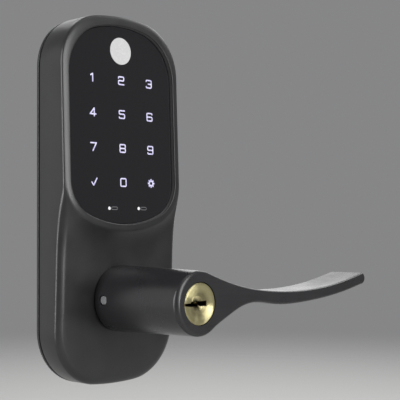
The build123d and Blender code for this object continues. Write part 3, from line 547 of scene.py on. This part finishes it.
def castingFront(x, z):
    # depth of the front at a point: rim, then the chin's slope, less the rounding at the body's side
    inset = insideOf(padShape, x, z)
    outside = max(0.0, joinInset - inset)
    nearZ = z + inwardOf(padShape, x, z)[1] * outside if outside else z
    crest = glassPlane(nearZ) + casting["rimRise"] + crestDrop
    depth = crest - rounded(max(inset, joinInset), crownAcross, crownDeep)
    if outside:
        fall = max(depth - lowerPlane(z), casting["leastFall"])
        length = casting["fallPower"] * fall / casting["joinSlope"]
        depth -= fall * (1 - max(0.0, 1 - outside / length) ** casting["fallPower"])
    return depth - rounded(max(0.0, insideOf(bodyShape, x, z)), *sideRounding(outside))


def ceiling(z):
    # depth of the casting's inside, under both fronts
    return min(lowerPlane(z) - casting["frontWall"], glassPlane(z) - casting["ledgeBack"])


def glassRays():
    # points on the glass's outline with the way straight out, clockwise from the top
    half = []
    for end, (archSteps, cornerSteps) in ((1, skin["topSteps"]), (-1, skin["bottomSteps"])):
        across, cornerZ, archZ, turn, small, large = cornerOf(glassShape, end)
        arch = [math.pi / 2 - (math.pi / 2 - turn) * i / archSteps for i in range(archSteps)]
        corner = [turn * (1 - i / cornerSteps) for i in range(cornerSteps + 1)]
        points = [(large * math.cos(a), archZ + large * math.sin(a), a) for a in arch]
        points += [(across + small * math.cos(a), cornerZ + small * math.sin(a), a) for a in corner]
        half.append([(x, end * z, math.cos(a), end * math.sin(a)) for x, z, a in points])
    top, bottom = half
    sideTop, sideBottom, sideSteps = top[-1][1], bottom[-1][1], skin["sideSteps"]
    side = [(glassShape["half"], sideTop + (sideBottom - sideTop) * i / sideSteps, 1.0, 0.0)
            for i in range(1, sideSteps)]
    right = top + side + bottom[::-1]
    left = [(-x, z, -dx, dz) for x, z, dx, dz in right[-2:0:-1]]
    return right + left


def along(x, z, dx, dz, shape, inset):
    # how far along a ray a given inset from an outline is met
    low, high = 0.0, skin["farthest"]
    for _ in range(skin["halvings"]):
        middle = (low + high) / 2
        if insideOf(shape, x + dx * middle, z + dz * middle) > inset:
            low = middle
        else:
            high = middle
    return low


def castingSection(x, z, dx, dz):
    # one closed section from the glass out to the side, round the back and in again: x, height, depth
    gap, (rounding, roundingDepth) = casting["glassGap"], casting["innerRounding"]
    x, z = x + dx * gap, z + dz * gap
    count = skin["quarterSteps"]
    quarter = [math.radians(90 * i / count) for i in range(count + 1)]
    reach = along(x, z, dx, dz, bodyShape, 0.0)
    crownEnd = min(along(x, z, dx, dz, padShape, joinInset), reach)
    edgeX, edgeZ = x + dx * reach, z + dz * reach
    inX, inZ = inwardOf(bodyShape, edgeX - dx * skin["nudge"], edgeZ - dz * skin["nudge"])
    outside = max(0.0, joinInset - insideOf(padShape, edgeX, edgeZ))
    slant = max(skin["leastSlant"], -(inX * dx + inZ * dz))
    width = min(sideRounding(outside)[0] / slant, reach - crownEnd)

    crownSteps, frontSteps = skin["crownSteps"], skin["frontSteps"]
    steps = [rounding * (1 - math.cos(a)) for a in quarter]
    steps += [rounding + (crownEnd - rounding) * i / crownSteps for i in range(1, crownSteps + 1)]
    steps += [crownEnd + (reach - width - crownEnd) * (i / frontSteps) ** skin["crowding"]
              for i in range(1, frontSteps + 1)]
    steps += [reach - width * (1 - math.cos(a)) for a in quarter[::-1]]
    section = []
    for step in steps:
        px, pz = x + dx * step, z + dz * step
        section.append((px, pz, castingFront(px, pz) - rounded(step, rounding, roundingDepth)))

    lip, stride = casting["lipRounding"], skin["lipStride"]
    behind = [(0.0, casting["lipDepth"] + lip)]
    behind += [(lip * (1 - math.cos(a)), casting["lipDepth"] + lip * (1 - math.sin(a)))
               for a in quarter[stride::stride]]
    behind += [(casting["lipInset"], casting["lipDepth"]), (casting["lipInset"], casting["back"]),
               (casting["wall"], casting["back"])]
    section += [(edgeX + inX * inset, edgeZ + inZ * inset, depth) for inset, depth in behind]
    wallX, wallZ = edgeX + inX * casting["wall"], edgeZ + inZ * casting["wall"]
    windowX, windowZ = x - dx * (gap + casting["window"]), z - dz * (gap + casting["window"])
    section.append((wallX, wallZ, ceiling(wallZ)))
    section.append((windowX, windowZ, ceiling(windowZ)))
    section.append((windowX, windowZ, glassPlane(windowZ) - casting["ledge"]))
    section.append((x, z, glassPlane(z) - casting["ledge"]))
    return section


def inFrame(x, z, depth):
    # the CAD frame's metres, from millimetres across, up and out from the door
    return mm * x, -mm * depth, mm * z


def addTube(mesh, x, z, back, front, outer, inner=0.0, sides=skin["tubeSides"]):
    # a post or ring along the depth, closed, bored where an inner radius is given
    turns = [2 * math.pi * i / sides for i in range(sides)]
    ends = [(outer, back), (outer, front)] + ([(inner, front), (inner, back)] if inner else [])
    rings = [[mesh.verts.new(inFrame(x + radius * math.cos(a), z + radius * math.sin(a), depth))
              for a in turns] for radius, depth in ends]
    pairs = list(zip(rings, rings[1:])) + ([(rings[-1], rings[0])] if inner else [])
    for one, other in pairs:
        for i in range(sides):
            j = (i + 1) % sides
            mesh.faces.new((one[i], one[j], other[j], other[i]))
    if not inner:
        mesh.faces.new(rings[0])
        mesh.faces.new(rings[1][::-1])


def meshData(name, mesh):
    # a bmesh written out and freed, its faces turned outwards
    bmesh.ops.recalc_face_normals(mesh, faces=mesh.faces)
    data = bpy.data.meshes.new(name)
    mesh.to_mesh(data)
    mesh.free()
    return data


def smooth(data, crease):
    # smooth but for edges at this angle in degrees or more
    data.shade_smooth()
    data.set_sharp_from_angle(angle=math.radians(crease))


def castSkin():
    # the casting's whole wall, front and back, as one closed skin
    sections = [castingSection(*ray) for ray in glassRays()]
    mesh = bmesh.new()
    grid = [[mesh.verts.new(inFrame(*point)) for point in section] for section in sections]
    for i, column in enumerate(grid):
        following = grid[(i + 1) % len(grid)]
        for j in range(len(column)):
            k = (j + 1) % len(column)
            face = mesh.faces.new((column[j], column[k], following[k], following[j]))
            if j < skin["paintedLightSteps"] or k == 0:
                face.material_index = 1     # the step's painted light
    bmesh.ops.remove_doubles(mesh, verts=mesh.verts, dist=skin["weld"] * mm)
    data = meshData("castSkin", mesh)
    for finish in ("powderCoat", "stepPaintedLight"):
        data.materials.append(materials[finish])
    return data


def boreCutter():
    # what the lever's hub passes through
    cutter = bmesh.new()
    addTube(cutter, 0, 0, casting["back"], casting["lowerDepth"] + casting["wall"],
            casting["boreRadius"], sides=skin["boreSides"])
    return meshData("boreCutter", cutter)


def castHousing():
    # the skin, bored for the hub, with its seat, its bosses and the lever's stops inside
    shell, drill = addObject("castSkin", castSkin()), addObject("boreCutter", boreCutter())
    bore = shell.modifiers.new("bore", "BOOLEAN")
    bore.operation = "DIFFERENCE"
    bore.object = drill
    bore.solver = "EXACT"
    bored = bpy.data.meshes.new_from_object(shell.evaluated_get(bpy.context.evaluated_depsgraph_get()))
    for thing in (shell, drill):
        bpy.data.objects.remove(thing)

    mesh = bmesh.new()
    mesh.from_mesh(bored)
    addTube(mesh, 0, 0, casting["seatDepth"], ceiling(0) + casting["rooted"], casting["seatRadius"],
            casting["boreRadius"], skin["boreSides"])
    for x, z, back in casting["bosses"]:
        addTube(mesh, x, z, back, ceiling(z) + casting["rooted"], casting["bossRadius"],
                casting["bossBore"])
    for x, z, back in casting["stopPosts"]:
        addTube(mesh, x, z, back, ceiling(z) + casting["rooted"], casting["stopRadius"])
    data = meshData("castHousing", mesh)
    smooth(data, casting["crease"])
    for finish in ("powderCoat", "stepPaintedLight"):
        data.materials.append(materials[finish])
    piece = addObject("castHousing", data)
    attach(piece, "lock_body")
    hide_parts("housing")
    return piece


housingPiece = castHousing()
print("cast housing", len(housingPiece.data.polygons), "faces")


# Springs, wound again from round wire

springs = {
    "turns": 2.5, "stepsPerTurn": 48,
    "roundSteps": 3,            # each adds two to the wire's four sides
    "crease": 50,               # degrees
    "returnWire": 0.6, "returnRadius": 14.2, "returnRise": 3.5,     # wire's radius, mean radius, height
    "catchWire": 0.15, "catchRadius": 1.95,
    "catchKept": 0.26,          # share of its length left when the catch is pressed in
}


def coilPoints(radius, rise):
    # a helix from the +X side of its own axis, in millimetres: across, up, along
    count = int(springs["turns"] * springs["stepsPerTurn"])
    turned = [2 * math.pi * springs["turns"] * i / count for i in range(count + 1)]
    return [(radius * math.cos(a), radius * math.sin(a), rise * i / count) for i, a in enumerate(turned)]


def wirePiece(name, points, wire, replaced):
    # round spring wire along points in metres, closed at both ends
    line = bpy.data.curves.new(name + "Line", "CURVE")
    line.dimensions = "3D"
    line.bevel_depth = wire * mm
    line.bevel_resolution = springs["roundSteps"]
    line.use_fill_caps = True
    spline = line.splines.new("POLY")
    spline.points.add(len(points) - 1)
    for knot, spot in zip(spline.points, points):
        knot.co = (*spot, 1)
    path = addObject(name + "Line", line)
    data = bpy.data.meshes.new_from_object(path.evaluated_get(bpy.context.evaluated_depsgraph_get()))
    bpy.data.objects.remove(path)
    smooth(data, springs["crease"])
    data.materials.clear()
    data.materials.append(materials["springWire"])
    piece = addObject(name, data)
    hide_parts(replaced)
    return piece


def windReturnSpring():
    # one leg stays in the cage's wall, the other turns with the lock ring
    low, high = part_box("return_spring")
    back = high[1] - springs["returnWire"] * mm
    turns = [(x * mm, back - forward * mm, z * mm)
             for x, z, forward in coilPoints(springs["returnRadius"], springs["returnRise"])]
    points = [(high[0], back, 0)] + turns + [(turns[-1][0], low[1], 0)]
    piece = wirePiece("returnSpring", points, springs["returnWire"], "return_spring")
    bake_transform(piece)
    return piece


def windCatchSpring():
    # between the catch's head and the block that it slides in
    low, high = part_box("catch_spring")
    wire = springs["catchWire"]
    middleY, middleZ = (low[1] + high[1]) / 2, (low[2] + high[2]) / 2
    rise = (high[0] - low[0]) / mm - 2 * wire
    points = [(low[0] + (wire + forward) * mm, middleY + y * mm, middleZ + z * mm)
              for y, z, forward in coilPoints(springs["catchRadius"], rise)]
    piece = wirePiece("catchSpring", points, wire, "catch_spring")
    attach(piece, "lever")
    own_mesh(piece)
    return piece


springPieces = [windReturnSpring(), windCatchSpring()]
print("wound", len(springPieces), "springs")


# Studio

studio = {
    "world": "#868687",
    "worldStrength": 1.0,
    "floor": "#c9c9c7",
    "floorRoughness": 0.85,
    "floorRadius": 4.0, "floorSides": 96,
    "floorDrop": 0.05,          # the lock hangs above it, as on its door, clear of the lever at its lowest
    "floorFade": (0.12, 0.75),  # metres from the floor's middle, where it melts into the background
    "middle": (0.02, -0.03, 0.05),      # what the lamps face
}

world = bpy.data.worlds.new("studioWorld")
bpy.context.scene.world = world
world.use_nodes = True
world.node_tree.nodes.clear()
sky = addNode(world.node_tree, "ShaderNodeBackground",
              {"Color": linear(studio["world"]), "Strength": studio["worldStrength"]})
addNode(world.node_tree, "ShaderNodeOutputWorld", links={"Surface": sky.outputs[0]})


def seamlessFloor():
    # painted board that melts into the background with distance
    material, tree, place = emptyMaterial("paintedBoard")
    board = addNode(tree, "ShaderNodeBsdfPrincipled",
                    {"Roughness": studio["floorRoughness"], "Base Color": linear(studio["floor"])})
    clear = addNode(tree, "ShaderNodeBsdfTransparent")
    distance = addNode(tree, "ShaderNodeVectorMath", links={0: place}, operation="LENGTH")
    near, far = studio["floorFade"]
    fade = addNode(tree, "ShaderNodeMapRange", {"From Min": near, "From Max": far},
                   {"Value": distance.outputs["Value"]}, interpolation_type="SMOOTHSTEP")
    mix = addNode(tree, "ShaderNodeMixShader",
                  links={0: fade.outputs["Result"], 1: board.outputs[0], 2: clear.outputs[0]})
    addNode(tree, "ShaderNodeOutputMaterial", links={"Surface": mix.outputs[0]})
    return material


floorMesh = bmesh.new()
bmesh.ops.create_circle(floorMesh, cap_ends=True, segments=studio["floorSides"],
                        radius=studio["floorRadius"])
floorData = bpy.data.meshes.new("studioFloor")
floorMesh.to_mesh(floorData)
floorMesh.free()
floorData.materials.append(seamlessFloor())
floor = addObject("studioFloor", floorData)
floor.location.z = cadBox[0][2] - studio["floorDrop"]


def direction(azimuth, elevation):
    # the way out from the lock: azimuth 0 is straight in front of it, and -90 is on its left
    turn, lift = math.radians(azimuth), math.radians(elevation)
    return Vector((math.sin(turn) * math.cos(lift), -math.cos(turn) * math.cos(lift), math.sin(lift)))


lamps = {
    # name: direction from the middle as azimuth and elevation, distance, width, height, power in watts
    "frontSoftbox": (2, 17, 1.0, 0.60, 0.62, 7.3),
    "lowStrip": (10, -2.3, 1.0, 0.12, 0.07, 1.5),
    "leftStrip": (-100, 7, 0.9, 0.20, 0.9, 6.0),
    "backLeftSoftbox": (-140, 8, 1.0, 0.60, 0.9, 0.9),
    "backTopSoftbox": (165, 45, 1.0, 0.20, 0.20, 0.45),
    "topSoftbox": (20, 70, 0.9, 0.80, 0.5, 1.3),
    "rightTopSoftbox": (85, 40, 1.0, 0.60, 0.4, 2.6),
    "backRightSoftbox": (135, 14, 1.3, 1.20, 0.8, 4.3),
}
for name, (azimuth, elevation, distance, width, height, power) in lamps.items():
    towards = direction(azimuth, elevation)
    lamp = bpy.data.lights.new(name, "AREA")
    lamp.shape = "RECTANGLE"
    lamp.size = width
    lamp.size_y = height
    lamp.energy = power
    holder = addObject(name, lamp)
    holder.location = Vector(studio["middle"]) + towards * distance
    holder.rotation_euler = towards.to_track_quat("Z", "Y").to_euler()
    holder.visible_camera = False

view = {
    "azimuth": -45.02, "elevation": -1.379, "roll": -0.17,
    "distance": 0.4856, "aimAcross": -0.04878, "aimUp": -0.04526,   # of the view's centre line, in metres
    "lens": 92.61, "sensor": 36.0,      # mm
    "nearest": 0.01,                    # metres, clipped closer than this
}
backwards = direction(view["azimuth"], view["elevation"])
right = Vector((0, 0, 1)).cross(backwards).normalized()
up = backwards.cross(right)
camera = addObject("camera", bpy.data.cameras.new("camera"))
camera.data.lens = view["lens"]
camera.data.sensor_width = view["sensor"]
camera.data.clip_start = view["nearest"]
camera.location = backwards * view["distance"] - right * view["aimAcross"] - up * view["aimUp"]
level = Matrix((right, up, backwards)).transposed()
camera.rotation_euler = (level @ Matrix.Rotation(math.radians(view["roll"]), 3, "Z")).to_euler()
bpy.context.scene.camera = camera
bpy.context.scene.view_settings.view_transform = "Standard"
print("lit by", len(lamps), "softboxes")
